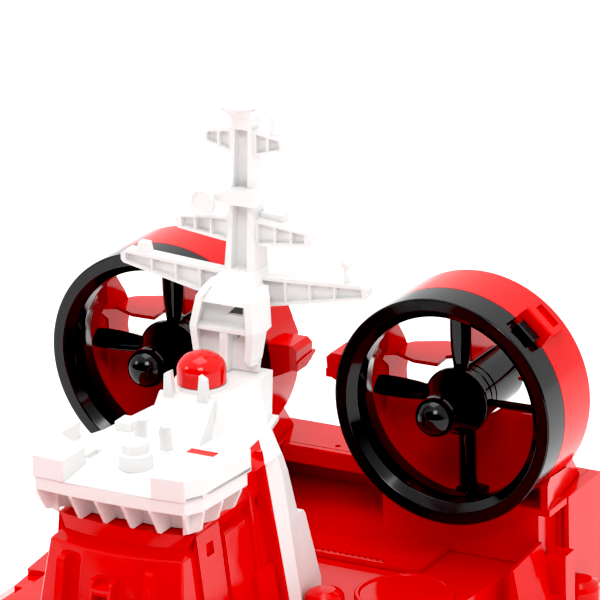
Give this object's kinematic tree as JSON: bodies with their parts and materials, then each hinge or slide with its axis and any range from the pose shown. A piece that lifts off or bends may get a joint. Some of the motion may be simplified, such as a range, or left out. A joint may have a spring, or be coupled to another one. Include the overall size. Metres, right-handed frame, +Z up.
{
  "type": "toy hovercraft",
  "caption": "Toy hovercraft in gloss plastic: skirted hull, bridge tower with mast, and ducted propellers at the stern that turn freely.",
  "frame": {"origin": "on the floor, at the middle of the footprint", "axes": "+X to port, +Y aft, +Z up"},
  "size_m": [0.25, 0.52, 0.268],
  "materials": {
    "red_plastic": "smooth gloss moulded plastic",
    "white_plastic": "smooth satin-gloss moulded plastic",
    "black_plastic": "smooth gloss moulded plastic"
  },
  "bodies": {
    "craft": {"hull": "red_plastic", "main_deck": "red_plastic", "foredeck": "red_plastic", "deck_vent_port": "red_plastic", "deck_vent_starboard": "red_plastic", "stern_beam": "red_plastic", "rear_deck": "red_plastic", "tower": "red_plastic", "dome": "red_plastic", "side_wall_port": "red_plastic", "deck_disc_port": "red_plastic", "duct_cradle_port": "red_plastic", "duct_port": "red_plastic", "side_wall_starboard": "red_plastic", "deck_disc_starboard": "red_plastic", "duct_cradle_starboard": "red_plastic", "duct_starboard": "red_plastic", "aft_tower": "white_plastic", "bridge_deck": "white_plastic", "dome_stand": "white_plastic", "mast": "white_plastic", "skirt": "black_plastic", "duct_ring_port": "black_plastic", "motor_pod_port": "black_plastic", "duct_ring_starboard": "black_plastic", "motor_pod_starboard": "black_plastic"},
    "propeller_port": {"propeller_port": "black_plastic"},
    "propeller_starboard": {"propeller_starboard": "black_plastic"}
  },
  "joints": [
    {"name": "propeller_port_spin", "type": "hinge", "parent": "craft", "child": "propeller_port", "pos_m": [0.0694, 0.19, 0.13], "axis": [0, 1, 0], "continuous": true},
    {"name": "propeller_starboard_spin", "type": "hinge", "parent": "craft", "child": "propeller_starboard", "pos_m": [-0.0694, 0.19, 0.13], "axis": [0, 1, 0], "continuous": true}
  ]
}
